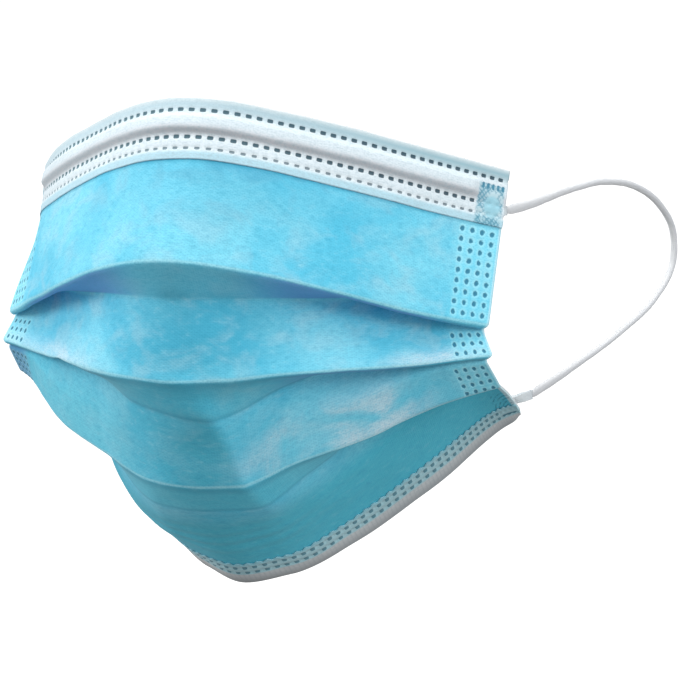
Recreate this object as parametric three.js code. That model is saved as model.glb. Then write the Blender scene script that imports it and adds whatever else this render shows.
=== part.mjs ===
// Surgical face mask with two ear loops, held open in the form that it has when worn.
// Millimetres, +Z up, +X towards one ear, and the front of the mask faces -Y.
// The origin is the nose bridge: the middle of the mask's top edge.
import * as THREE from 'three';

// Cloth: the flat mask's width, its wall, and the air that pieces and folded layers keep
const FLAT_WIDTH = 175;
const CLOTH = 1.0;
const AIR = 0.3;
const FOLD_AIR = 0.5;

// Heights along the cloth: top panel, the two middle panels, the chin panel and a pleat's depth
const TOP_PANEL = 41.8;
const SECOND_PANEL = 10.3;
const THIRD_PANEL = 10;
const CHIN_PANEL = 26.2;
const PLEAT_DEPTH = 8.5;

// A closed pleat's layers are drawn back at the side edges, counted in layers: what each is drawn
// back beyond the panel before it, and what the chin corner keeps of it where its weld pulls it out
const LAYER_TUCK = 0.7;
const CORNER_TUCK = 1.4;

// White band folded over the top edge, with a pocket for the nose wire
const BAND_FRONT = 16;
const BAND_BACK = 7;
const WIRE_LENGTH = 150;
const WIRE_WIDTH = 3;
const WIRE_THICKNESS = 0.8;
const WIRE_BELOW_EDGE = 7;
const POCKET_SLOPE = 1.2;
const POCKET_FADE = 6;

// White hem folded over the bottom edge
const HEM_FRONT = 9.5;
const HEM_BACK = 4.5;

// Elastic ear loops: round cord, with ends that are pressed flat and welded inside the corners
const LOOP_CORD = 1.9;
const LOOP_STEPS = 56;
const WELD_LENGTH = 8;
const WELD_WIDTH = 4;
const WELD_THICKNESS = 1;
const WELD_BEYOND_EDGE = 0.8;
const WELD_PIECES = 4;
const TOP_WELD_BELOW_EDGE = 10.4;
const CHIN_WELD_ABOVE_EDGE = 9.5;

// The mask's form from the middle (at 0) to a side edge (at 1). heading and fall are the top
// edge's course in degrees, lean is how far each of the four panels stands out going down,
// open is how far each of the three pleats stands open, and show is the share of the second
// panel that the first pleat leaves in sight.
const STATIONS = [
  { at: 0.00, heading: 0, fall: 0, lean: [24, 5, -20, -52], open: [1.00, 1.00, 1.00], show: 1.00 },
  { at: 0.14, heading: 27, fall: 10, lean: [24, 10, -18, -56], open: [0.90, 0.95, 1.00], show: 0.95 },
  { at: 0.30, heading: 39, fall: 13, lean: [25, 21, -15, -55], open: [0.75, 0.70, 0.85], show: 0.90 },
  { at: 0.50, heading: 41, fall: 14, lean: [24, 26, -20, -49], open: [0.55, 0.45, 0.55], show: 0.85 },
  { at: 0.72, heading: 52, fall: 14, lean: [22, 27, -30, -48], open: [0.30, 0.10, 0.35], show: 0.80 },
  { at: 1.00, heading: 55, fall: 14, lean: [28, 32, -45, -62], open: [0.00, 0.00, 0.00], show: 0.65 },
];

// Lean in degrees of the cloth between a fold and the panel under it where the pleat is open
const RISER_LEAN = [-28, -40, -50];

// Width of each fold line and of the bottom edge, as shares of the top edge's width
const FOLD_SPREAD = [1.02, 1.04, 1.03];
const BOTTOM_SPREAD = 1.00;

// Cord route of the ear loop on the +X side, from its upper end to its lower end
const LOOP_POINTS = [
  [63.1, 51.6, -28.6],
  [65.8, 65.0, -27.4],
  [69.5, 80.0, -25.0],
  [71.9, 88.5, -23.9],
  [74.3, 97.0, -23.2],
  [78.4, 112.0, -24.6],
  [81.8, 125.0, -29.6],
  [83.8, 133.5, -37.5],
  [83.4, 134.5, -47.0],
  [80.2, 126.5, -56.0],
  [75.6, 113.0, -62.8],
  [72.7, 103.2, -66.5],
  [70.0, 93.0, -69.6],
  [68.2, 84.4, -71.9],
  [66.6, 75.5, -73.9],
  [64.8, 66.8, -75.8],
];

const HALF_STATIONS = 26;
const ROW_HEIGHT = 6;
const HALF_WIDTH = FLAT_WIDTH / 2;
const LAYER = CLOTH + AIR;
const RAD = Math.PI / 180;

// Value of one column of the table at a share of the half width, along a smooth curve
function across(share, read, turnsAtMiddle = false) {
  const last = STATIONS.length - 1;
  const value = (k) => read(STATIONS[k]);
  const slope = (k) => {
    if (k === 0 && !turnsAtMiddle) return 0;
    const low = Math.max(k - 1, 0);
    const high = Math.min(k + 1, last);
    return (value(high) - value(low)) / (STATIONS[high].at - STATIONS[low].at);
  };
  let k = 0;
  while (k < last - 1 && share >= STATIONS[k + 1].at) k += 1;
  const span = STATIONS[k + 1].at - STATIONS[k].at;
  const t = (share - STATIONS[k].at) / span;
  const rise = t * t * (3 - 2 * t);
  const leaving = t * (1 - t) * (1 - t) * span * slope(k);
  const arriving = t * t * (1 - t) * span * slope(k + 1);
  return value(k) + rise * (value(k + 1) - value(k)) + leaving - arriving;
}

const headingAt = (share) => RAD * across(share, (row) => row.heading, true);
const fallAt = (share) => RAD * across(share, (row) => row.fall, true);

// Points of the top edge from the middle to the side edge, one for each station
function topEdge() {
  const points = [new THREE.Vector3()];
  const step = HALF_WIDTH / HALF_STATIONS;
  for (let k = 0; k < HALF_STATIONS; k += 1) {
    const share = (k + 0.5) / HALF_STATIONS;
    const heading = headingAt(share);
    const fall = fallAt(share);
    const point = points[k].clone();
    point.x += step * Math.cos(heading) * Math.cos(fall);
    point.y += step * Math.sin(heading) * Math.cos(fall);
    point.z -= step * Math.sin(fall);
    points.push(point);
  }
  return points;
}

// Angles and lengths of the cloth's stretches from the top edge down, at one station, and how
// many layers of a closed pleat the lower end of each lies behind
function stretches(share) {
  const lean = [0, 1, 2, 3].map((k) => RAD * across(share, (row) => row.lean[k]));
  const open = [0, 1, 2].map((k) => THREE.MathUtils.clamp(across(share, (row) => row.open[k]), 0, 1));
  const turn = (CLOTH + FOLD_AIR) / Math.cos(headingAt(share));
  const shown = [SECOND_PANEL * across(share, (row) => row.show), THIRD_PANEL, CHIN_PANEL];
  const list = [{ length: TOP_PANEL, angle: lean[0], spread: FOLD_SPREAD[0], behind: 0 }];
  for (let k = 0; k < 3; k += 1) {
    const riser = THREE.MathUtils.lerp(lean[k] - Math.PI, RAD * RISER_LEAN[k], open[k]);
    const hidden = THREE.MathUtils.lerp(lean[k], lean[k + 1], open[k]);
    const spread = FOLD_SPREAD[k];
    const nextSpread = k < 2 ? FOLD_SPREAD[k + 1] : BOTTOM_SPREAD;
    const closed = 1 - open[k];
    const above = k > 0 ? 2 * Math.min(PLEAT_DEPTH / shown[k - 1], 1) : 0;
    const below = k < 2 ? 2 : CORNER_TUCK;
    const behind = closed * (above + 1 + LAYER_TUCK);
    list.push({ length: turn, angle: (lean[k] + riser) / 2, spread, behind: closed * (1 + LAYER_TUCK) });
    list.push({ length: PLEAT_DEPTH, angle: riser, spread, behind });
    list.push({ length: turn, angle: (riser + hidden) / 2, spread, behind: behind + closed });
    list.push({ length: PLEAT_DEPTH, angle: hidden, spread, behind: closed * below });
    list.push({ length: shown[k], angle: lean[k + 1], spread: nextSpread, behind: 0 });
  }
  return list;
}

// Fold lines of the cloth at one station: the top edge, every corner of a pleat, the bottom edge.
// A closed pleat's layers are drawn back along the cloth, so that their ends are flush.
function foldPoints(share, edge) {
  const heading = headingAt(share);
  const points = [edge.clone()];
  let { y, z } = edge;
  for (const { length, angle, spread, behind } of stretches(share)) {
    y -= length * Math.sin(angle);
    z -= length * Math.cos(angle);
    const drawn = behind * (CLOTH + FOLD_AIR) * Math.tan(heading);
    const x = edge.x * spread - drawn * Math.cos(heading);
    points.push(new THREE.Vector3(x, y - drawn * Math.sin(heading), z));
  }
  return points;
}

// The cloth from one side edge to the other: a list of stations, each a list of fold points
function clothStations() {
  const half = topEdge().map((edge, k) => foldPoints(k / HALF_STATIONS, edge));
  const mirrored = half.slice(1).reverse();
  const flip = (point) => new THREE.Vector3(-point.x, point.y, point.z);
  return [...mirrored.map((row) => row.map(flip)), ...half];
}

// Outward direction of the stretch between points j and j + 1 of station i
function outward(grid, i, j) {
  const before = grid[Math.max(i - 1, 0)];
  const after = grid[Math.min(i + 1, grid.length - 1)];
  const along = after[j].clone().add(after[j + 1]).sub(before[j]).sub(before[j + 1]);
  const down = grid[i][j + 1].clone().sub(grid[i][j]);
  return down.cross(along).normalize();
}

// Shift that keeps the wall's thickness where two stretches meet
function miter(grid, i, j) {
  const last = grid[i].length - 1;
  if (j === 0) return outward(grid, i, 0);
  if (j === last) return outward(grid, i, last - 1);
  const above = outward(grid, i, j - 1);
  const below = outward(grid, i, j);
  return above.clone().add(below).divideScalar(1 + above.dot(below));
}

// Closed wall of the given thickness about a grid of middle points
function wallSolid(grid, thickness) {
  const rows = grid[0].length;
  const positions = [];
  for (const side of [0.5, -0.5]) {
    grid.forEach((station, i) => station.forEach((point, j) => {
      positions.push(...miter(grid, i, j).multiplyScalar(side * thickness).add(point).toArray());
    }));
  }
  const back = grid.length * rows;
  const at = (i, j, layer) => layer * back + i * rows + j;
  const index = [];
  const quad = (a, b, c, d) => index.push(a, b, c, a, c, d);
  for (let i = 0; i < grid.length - 1; i += 1) {
    for (let j = 0; j < rows - 1; j += 1) {
      quad(at(i, j, 0), at(i, j + 1, 0), at(i + 1, j + 1, 0), at(i + 1, j, 0));
      quad(at(i, j, 1), at(i + 1, j, 1), at(i + 1, j + 1, 1), at(i, j + 1, 1));
    }
    quad(at(i, 0, 0), at(i + 1, 0, 0), at(i + 1, 0, 1), at(i, 0, 1));
    quad(at(i, rows - 1, 0), at(i, rows - 1, 1), at(i + 1, rows - 1, 1), at(i + 1, rows - 1, 0));
  }
  const end = grid.length - 1;
  for (let j = 0; j < rows - 1; j += 1) {
    quad(at(0, j, 0), at(0, j, 1), at(0, j + 1, 1), at(0, j + 1, 0));
    quad(at(end, j, 0), at(end, j + 1, 0), at(end, j + 1, 1), at(end, j, 1));
  }
  const geometry = new THREE.BufferGeometry();
  geometry.setAttribute('position', new THREE.Float32BufferAttribute(positions, 3));
  geometry.setIndex(index);
  geometry.computeVertexNormals();
  return geometry;
}

const cloth = clothStations();
const LAST_FOLD = cloth[0].length - 1;
const shareOf = (i) => Math.abs(i - HALF_STATIONS) / HALF_STATIONS;

// Point a distance below the top edge (or above the bottom edge) and a height off the cloth
function offTopPanel(i, distance, height) {
  const [edge, fold] = cloth[i];
  return edge.clone().lerp(fold, distance / TOP_PANEL).addScaledVector(outward(cloth, i, 0), height);
}
function offChinPanel(i, distance, height) {
  const edge = cloth[i][LAST_FOLD];
  const fold = cloth[i][LAST_FOLD - 1];
  const out = outward(cloth, i, LAST_FOLD - 1);
  return edge.clone().lerp(fold, distance / CHIN_PANEL).addScaledVector(out, height);
}

// Distances that split a panel into rows of about the same height
function rowsBetween(start, end) {
  const count = Math.ceil((end - start) / ROW_HEIGHT);
  return Array.from({ length: count }, (_, k) => start + (end - start) * k / count);
}

// The pleated cloth, trimmed back inside the band and the hem
function pleatedBody() {
  const topRows = rowsBetween(LAYER, TOP_PANEL);
  const chinRows = rowsBetween(LAYER, CHIN_PANEL).reverse();
  const grid = cloth.map((station, i) => [
    ...topRows.map((distance) => offTopPanel(i, distance, 0)),
    ...station.slice(1, -1),
    ...chinRows.map((distance) => offChinPanel(i, distance, 0)),
  ]);
  return wallSolid(grid, CLOTH);
}

// Height of the wire pocket above the rest of the band: full over the wire, none past its ends
function pocketShare(i) {
  const past = shareOf(i) * HALF_WIDTH - WIRE_LENGTH / 2 - AIR;
  return THREE.MathUtils.clamp(1 - past / POCKET_FADE, 0, 1);
}

// The band over the top edge: up the back, over the edge, down the front across the pocket
function topBand() {
  const pocketTop = WIRE_BELOW_EDGE - WIRE_WIDTH / 2 - AIR;
  const pocketFoot = WIRE_BELOW_EDGE + WIRE_WIDTH / 2 + AIR;
  const rise = WIRE_THICKNESS + AIR;
  const grid = cloth.map((station, i) => {
    const height = LAYER + rise * pocketShare(i);
    return [
      offTopPanel(i, BAND_BACK, -LAYER),
      offTopPanel(i, CLOTH / 2, -LAYER),
      offTopPanel(i, CLOTH / 2, LAYER),
      offTopPanel(i, pocketTop - POCKET_SLOPE, LAYER),
      offTopPanel(i, pocketTop, height),
      offTopPanel(i, pocketFoot, height),
      offTopPanel(i, pocketFoot + POCKET_SLOPE, LAYER),
      offTopPanel(i, BAND_FRONT, LAYER),
    ];
  });
  return wallSolid(grid, CLOTH);
}

// The flat nose wire in the band's pocket, between the cloth and the band
function noseWire() {
  const height = CLOTH / 2 + AIR + WIRE_THICKNESS / 2;
  const reach = WIRE_LENGTH / 2 / HALF_WIDTH;
  const grid = [];
  cloth.forEach((station, i) => {
    if (shareOf(i) > reach) return;
    grid.push([-0.5, 0, 0.5].map((side) => offTopPanel(i, WIRE_BELOW_EDGE + side * WIRE_WIDTH, height)));
  });
  return wallSolid(grid, WIRE_THICKNESS);
}

// The hem round the bottom edge: down the front, under the edge, up the back
function bottomHem() {
  const grid = cloth.map((station, i) => [
    offChinPanel(i, HEM_FRONT, LAYER),
    offChinPanel(i, CLOTH / 2, LAYER),
    offChinPanel(i, CLOTH / 2, -LAYER),
    offChinPanel(i, HEM_BACK, -LAYER),
  ]);
  return wallSolid(grid, CLOTH);
}

// Point on a panel at a length of cloth past a side edge, where side is +1 or -1
function pastSideEdge(offPanel, side, length, distance, height) {
  const edge = side > 0 ? cloth.length - 1 : 0;
  const step = offPanel(edge, distance, height).distanceTo(offPanel(edge - side, distance, height));
  const stations = length / step;
  const inner = Math.min(Math.floor(stations), -1);
  const from = offPanel(edge + side * inner, distance, height);
  const to = offPanel(edge + side * (inner + 1), distance, height);
  return from.lerp(to, stations - inner);
}

// Flattened end of an ear loop, welded to the inside of a corner
function loopEnd(offPanel, side, distance, downwards) {
  const height = -(CLOTH / 2 + AIR + WELD_THICKNESS / 2);
  const grid = [];
  for (let k = 0; k <= WELD_PIECES; k += 1) {
    const share = side > 0 ? k / WELD_PIECES : 1 - k / WELD_PIECES;
    const length = WELD_BEYOND_EDGE - WELD_LENGTH * (1 - share);
    const place = (across) => distance + downwards * across * WELD_WIDTH;
    grid.push([-0.5, 0.5].map((row) => pastSideEdge(offPanel, side, length, place(row), height)));
  }
  return wallSolid(grid, WELD_THICKNESS);
}

// Closed tube along a route
function cordTube(points, diameter, steps) {
  const route = new THREE.CatmullRomCurve3(points, false, 'centripetal');
  const section = new THREE.Shape();
  for (let k = 0; k < 8; k += 1) {
    const angle = (k + 0.5) * Math.PI / 4;
    const x = diameter / 2 * Math.cos(angle);
    const y = diameter / 2 * Math.sin(angle);
    if (k === 0) section.moveTo(x, y);
    else section.lineTo(x, y);
  }
  section.closePath();
  return new THREE.ExtrudeGeometry(section, { steps, bevelEnabled: false, extrudePath: route });
}

const mask = new THREE.Group();

function add(name, geometry, material) {
  const mesh = new THREE.Mesh(geometry, material);
  mesh.name = name;
  mask.add(mesh);
  return mesh;
}

const blueCloth = new THREE.MeshStandardMaterial({ color: 0x5fc0de, roughness: 0.85, metalness: 0 });
const whiteCloth = new THREE.MeshStandardMaterial({ color: 0xe6edf1, roughness: 0.85, metalness: 0 });
const wireCoat = new THREE.MeshStandardMaterial({ color: 0xf2f2f0, roughness: 0.5, metalness: 0 });
const elastic = new THREE.MeshStandardMaterial({ color: 0xf1f1f3, roughness: 0.75, metalness: 0 });

add('pleated_body', pleatedBody(), blueCloth);
add('top_band', topBand(), whiteCloth);
add('nose_wire', noseWire(), wireCoat);
add('bottom_hem', bottomHem(), whiteCloth.clone());

for (const side of [1, -1]) {
  const hand = side > 0 ? 'right' : 'left';
  const top = loopEnd(offTopPanel, side, TOP_WELD_BELOW_EDGE, 1);
  const chin = loopEnd(offChinPanel, side, CHIN_WELD_ABOVE_EDGE, -1);
  const route = LOOP_POINTS.map(([x, y, z]) => new THREE.Vector3(side * x, y, z));
  add(`loop_end_top_${hand}`, top, elastic.clone());
  add(`loop_end_chin_${hand}`, chin, elastic.clone());
  add(`ear_loop_${hand}`, cordTube(route, LOOP_CORD, LOOP_STEPS), elastic.clone());
}

export default mask;
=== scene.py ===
import bisect
import functools
import math

import bmesh
import bpy
from mathutils import Matrix, Vector, noise


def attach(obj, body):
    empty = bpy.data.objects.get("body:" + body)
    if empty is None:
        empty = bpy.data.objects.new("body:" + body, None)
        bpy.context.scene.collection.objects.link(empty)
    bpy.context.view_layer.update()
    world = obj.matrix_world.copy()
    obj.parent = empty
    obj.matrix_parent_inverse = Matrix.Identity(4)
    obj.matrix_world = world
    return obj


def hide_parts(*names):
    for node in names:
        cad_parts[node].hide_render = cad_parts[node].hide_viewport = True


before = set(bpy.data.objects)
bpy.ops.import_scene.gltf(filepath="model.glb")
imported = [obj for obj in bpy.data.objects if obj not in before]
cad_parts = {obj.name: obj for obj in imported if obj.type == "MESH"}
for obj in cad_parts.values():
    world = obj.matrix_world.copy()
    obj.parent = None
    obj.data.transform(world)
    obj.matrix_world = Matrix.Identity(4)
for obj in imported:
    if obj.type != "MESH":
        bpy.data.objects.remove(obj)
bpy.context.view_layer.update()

MM = 0.001

# Sizes that the cloth shares with the solids
FLAT_WIDTH = 175
HALF_WIDTH = FLAT_WIDTH / 2
TOP_PANEL = 41.8
SECOND_PANEL = 10.3
THIRD_PANEL = 10
CHIN_PANEL = 26.2
BAND_FRONT = 16
BAND_BACK = 7
WIRE_LENGTH = 150
HEM_FRONT = 9.5
HEM_BACK = 4.5
WELD_LENGTH = 8
WELD_WIDTH = 4
WELD_BEYOND_EDGE = 0.8
TOP_WELD_BELOW_EDGE = 10.4
CHIN_WELD_ABOVE_EDGE = 9.5
WELD_DEPTH = 0.95
CORD_DIAMETER = 1.9

# Pleats: the thin cloth's layers lie closer than the solids' walls, and each pleat is that much deeper
PLEAT_DEPTH = 9.05
LAYER_PITCH = 0.95
PLEAT_LAYERS = 2
LAYER_TUCK = 0.7
CORNER_TUCK = 1.4

# The mask's form from the middle (at 0) to a side edge (at 1): the top edge's course in degrees,
# how far each panel stands out going down, how far each pleat is open, the second panel's share in sight
STATIONS = [
    dict(at=0.00, heading=0, fall=0, lean=(24, 5, -20, -52), open=(1.00, 1.00, 1.00), show=1.00),
    dict(at=0.14, heading=27, fall=10, lean=(24, 10, -18, -56), open=(0.90, 0.95, 1.00), show=0.95),
    dict(at=0.30, heading=39, fall=13, lean=(25, 21, -15, -55), open=(0.75, 0.70, 0.85), show=0.90),
    dict(at=0.50, heading=41, fall=14, lean=(24, 26, -20, -49), open=(0.55, 0.45, 0.55), show=0.85),
    dict(at=0.72, heading=52, fall=14, lean=(22, 27, -30, -48), open=(0.30, 0.10, 0.35), show=0.80),
    dict(at=1.00, heading=55, fall=14, lean=(28, 32, -45, -62), open=(0.00, 0.00, 0.00), show=0.65),
]
RISER_LEAN = (-28, -40, -50)
FOLD_SPREAD = (1.02, 1.04, 1.03)
BOTTOM_SPREAD = 1.00

# Route of the ear loop on the +X side, from its upper end to its lower end
LOOP_POINTS = [
    (63.1, 51.6, -28.6),
    (65.8, 65.0, -27.4),
    (69.5, 80.0, -25.0),
    (71.9, 88.5, -23.9),
    (74.3, 97.0, -23.2),
    (78.4, 112.0, -24.6),
    (81.8, 125.0, -29.6),
    (83.8, 133.5, -37.5),
    (83.4, 134.5, -47.0),
    (80.2, 126.5, -56.0),
    (75.6, 113.0, -62.8),
    (72.7, 103.2, -66.5),
    (70.0, 93.0, -69.6),
    (68.2, 84.4, -71.9),
    (66.6, 75.5, -73.9),
    (64.8, 66.8, -75.8),
]

# Cloth as it is seen: thin layers about the middle surface of the solid wall
OUTER_CLOTH = 0.35
OUTER_HEIGHT = 0.2
LINING = 0.3
LINING_HEIGHT = -0.28
EDGE_CLOTH = 0.25
BAND_HEIGHT = 0.75
BAND_BACK_HEIGHT = -0.62
FREE_EDGE_HEIGHT = 0.53
FOLD_ROUNDING = 0.35
FOLD_CRISP = 0.42
CLOTH_INSET = 0.5
SLOPE_STEP = (0.6, 0.4)

# White cloth round an edge: the turn's middle, reach and steps, where front and back begin, the lips' drop
TURN_MIDDLE = 0.75
TURN_REACH = 0.65
TURN_STEPS = 8
FRONT_START = 1.1
BACK_START = 1.4
BAND_LIP = 2.2
HEM_LIP = 1.4

# Rows of pressed dashes on the band and the hem, measured from the edge that they follow
BAND_PITCH = 2.7
BAND_DASH = (1.5, 1.05)
BAND_THIN_DASH = (1.3, 0.75)
BAND_ROWS = (3.5, 10.5, 13.3)
HEM_PITCH = 2.3
HEM_DASH = (1.05, 1.25)
HEM_ROWS = (5.5, 7.9)
HEM_TOOTH = 0.35
HEM_TOOTH_REACH = 1.2
DASH_DEPTH = 0.28
DASH_REACH = (0.9, 0.25)
DASH_STRETCH = (0.8, 1.1)
GROOVE_DEPTH = 0.08
GROOVE_WIDTH = 0.9
COLUMNS_PER_DASH = 6

# Nose-wire pocket: a ridge between the first two rows
RIDGE_START = 4.4
RIDGE_END = 9.6
RIDGE_SLOPE = 1.4
RIDGE_HEIGHT = 1.25
RIDGE_RUNOUT = (5, 0.5)

# Side seals: pressed dots along each side edge, in rows on each panel (first row, rows, pitch)
SEAL_FIRST = 2.6
SEAL_PITCH = 3.2
SEAL_WIDTH = 13.6
SEAL_ROWS = ((18.2, 9, 2.7), (63.6, 3, 3.4), (93.6, 4, 2.5))
SEAL_DOT = (1.4, 0.52)
SEAL_DENT = 0.14
SEAL_DENT_REACH = (1.1, 0.3)

# Mesh of the pleated cloths: steps across, at the side seals and down
OUTER_STEPS = (1.5, SEAL_PITCH / 5, 0.65)
LINING_STEPS = (2.2, 2.2, 1.3)
FEWEST_ROWS = 3

# Small unevenness of handled cloth: height, length across, length down, seed
RIPPLES = ((0.7, 26, 18, 3.7), (0.2, 8, 6, 9.1))

# Crease down the middle, where the flat mask was folded in two: a dip, then a ridge below it
CREASE_START = (0.5, 52)
CREASE_DRIFT = 0.24
CREASE_DIP = (0.45, 2.4)
CREASE_DIP_SPAN = (48, 54, 74, 70)
CREASE_RIDGE = (1.7, 6)
CREASE_RIDGE_SPAN = (76, 82, 122, 110)

# Crease across the left cheek, as places on the flat cloth
CHEEK_CREASE = ((-47, 73), (-33, 84), (-28, 101))
CHEEK_CREASE_DEPTH = 0.55
CHEEK_CREASE_WIDTH = 2.2

# Shallow wrinkles at the top of the chin panel
WRINKLE_HEIGHT = 0.2
WRINKLE_PITCH = 4.4
WRINKLE_TILT = 0.06
WRINKLE_BEND = 0.004
WRINKLE_MIDDLE = (-4, 128)
WRINKLE_REACH = (27, 6)

# Where the handled cloth lies off the solids' even form: place on the flat cloth, reach, shift
LEFT_CORNER = dict(at=(-91, 17), reach=(12, 17), shift=(3.4, 0, 0))
LEFT_LIP = dict(at=(-66, 41), reach=(11, 5), shift=(0, 0, 0.9))
LEFT_CHEEK = dict(at=(-52, 100), reach=(21, 13), shift=(-4.0, -1.0, -1.2))
LEFT_CHIN = dict(at=(-27, 126), reach=(17, 15), shift=(-3.6, -1.0, -0.9))
MIDDLE_KNEE = dict(at=(7, 83), reach=(9, 6), shift=(0, -0.6, -1.5))
RIGHT_LAYERS = dict(at=(91, 118), reach=(12, 9), shift=(-5.5, 0.6, 0.6))
CHIN_CORNER = dict(at=(88.5, 149.5), reach=(4, 4), shift=(-1.6, 0, 1.4))
CHIN_EDGE = dict(at=(-16, 148), reach=(24, 9), shift=(0, 0, 0.8))
HANDLED = (
    LEFT_CORNER,
    LEFT_LIP,
    LEFT_CHEEK,
    LEFT_CHIN,
    MIDDLE_KNEE,
    RIGHT_LAYERS,
    CHIN_CORNER,
    CHIN_EDGE,
)

# Ear loops: ribs of the knitted cord, its slimmer middle, and the flattened ends' pressed teeth
CORD_STEPS = 8
CORD_RIB = 0.05
CORD_RIBS = 8
CORD_TWIST = 9
CORD_SLIM = 0.95
CORD_WIDE = 1.35
CORD_FLAT = 0.65
CORD_FLARE = 42
CORD_TIP = (3, 0.5)
CORD_PULL = (1, 0.6, 0.2)
WELD_ROUND = 1.2
WELD_TOOTH = 1.2
WELD_TOOTH_DEPTH = 0.12
WELD_THICKNESS = 0.7
WELD_TONGUE = 1.15
TONGUE_WIDTH = 0.9

# Marks of the welds, from the side edge and the top or bottom edge
BAND_HATCH_PITCH = (1.15, 1.5)
BAND_OVAL = dict(middle=(4.2, 11.2), size=(2.6, 3.0))
BAND_TEETH = dict(pitch=1.55, row=5.9, size=(1.4, 1.5))
CHIN_ARCS = dict(middle=(1, 7), pitch=1.5)
CHIN_ARCS_END = (17.5, 15.5)

# Floor and lights, in metres and watts, and the strength of the light from all round
FLOOR_RADIUS = 40
FLOOR_HEIGHT = -0.4
FLOOR_GLOW = 0.6
LAMP_SIZE = 0.7
LAMP_AIM = (0, 0.03, -0.06)
TOP_LAMP = ((0, -0.5, 1.2), 8)
LEFT_LAMP = ((-1.3, -0.35, 0.55), 11)
RIGHT_LAMP = ((1.3, -0.3, 0.6), 8)
LIGHT_ABOVE = 0.72
LIGHT_BELOW = 0.38
BACKDROP = 1.05

# Scale of the cloths' patterns, and the cloth map's span and shift
BOND_PITCH = (1.15, 0.8)
UV_SPAN = 200
UV_SHIFT = 25
TAU = 2 * math.pi
EDGE_STEPS = 208

# Camera, in millimetres of the frame
CAMERA_AZIMUTH = math.radians(20)
CAMERA_ELEVATION = math.radians(5)
CAMERA_DISTANCE = 900
CAMERA_ASIDE = 36
CAMERA_BELOW = 58.1
IMAGE_WIDTH = 680
SCALE = 4.18
SENSOR = 36


def camera_axes():
    sin_a, cos_a = math.sin(CAMERA_AZIMUTH), math.cos(CAMERA_AZIMUTH)
    sin_e, cos_e = math.sin(CAMERA_ELEVATION), math.cos(CAMERA_ELEVATION)
    right = Vector((cos_a, sin_a, 0))
    back = Vector((sin_a * cos_e, -cos_a * cos_e, sin_e))
    return right, back.cross(right), back


def make_camera():
    right, up, back = camera_axes()
    place = right * CAMERA_ASIDE - up * CAMERA_BELOW + back * CAMERA_DISTANCE
    data = bpy.data.cameras.new("camera")
    data.sensor_width = SENSOR
    data.lens = SENSOR * SCALE * CAMERA_DISTANCE / IMAGE_WIDTH
    data.clip_end = 100
    camera = bpy.data.objects.new("camera", data)
    camera.matrix_world = Matrix.Translation(place * MM) @ Matrix((right, up, back)).transposed().to_4x4()
    bpy.context.collection.objects.link(camera)
    bpy.context.scene.camera = camera


# Shader maths: a value that varies over the surface, used in plain expressions
class Value:
    def __init__(self, nodes, socket):
        self.nodes = nodes
        self.socket = socket

    def math(self, operation, *others):
        links = dict(enumerate((self, *others)))
        return self.nodes.node("ShaderNodeMath", {"operation": operation}, links)

    def reflected(self, operation, first):
        return self.nodes.node("ShaderNodeMath", {"operation": operation}, {0: first, 1: self})

    def __add__(self, other):
        return self.math("ADD", other)

    __radd__ = __add__

    def __sub__(self, other):
        return self.math("SUBTRACT", other)

    def __rsub__(self, other):
        return self.reflected("SUBTRACT", other)

    def __mul__(self, other):
        return self.math("MULTIPLY", other)

    __rmul__ = __mul__

    def __truediv__(self, other):
        return self.math("DIVIDE", other)

    def __pow__(self, other):
        return self.math("POWER", other)

    def __abs__(self):
        return self.math("ABSOLUTE")

    def fract(self):
        return self.math("FRACT")

    def cosine(self):
        return self.math("COSINE")

    def above(self, other):
        return self.math("MAXIMUM", other)

    def fade(self, start, end):
        """0 at start and 1 at end, smooth between them."""
        links = {"Value": self, "From Min": start, "From Max": end}
        return self.nodes.node("ShaderNodeMapRange", {"interpolation_type": "SMOOTHSTEP"}, links)

    def hump(self, middle, half_width):
        """1 at the middle and 0 from half_width away."""
        return abs(self - middle).fade(half_width, 0)


def colour(code):
    """Linear colour of a six-digit code."""
    shares = [int(code[k:k + 2], 16) / 255 for k in (0, 2, 4)]
    return (*[s / 12.92 if s <= 0.04045 else ((s + 0.055) / 1.055) ** 2.4 for s in shares], 1)


class Nodes:
    """A tree of nodes that grows by expressions."""

    def __init__(self, tree):
        self.tree = tree

    def node(self, kind, settings=None, links=None, output=0):
        new = self.tree.nodes.new(kind)
        for key, value in (settings or {}).items():
            setattr(new, key, value)
        for key, value in (links or {}).items():
            self.feed(new.inputs[key], value)
        return Value(self, new.outputs[output])

    def feed(self, socket, value):
        if isinstance(value, Value):
            self.tree.links.new(value.socket, socket)
        else:
            socket.default_value = value


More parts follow.
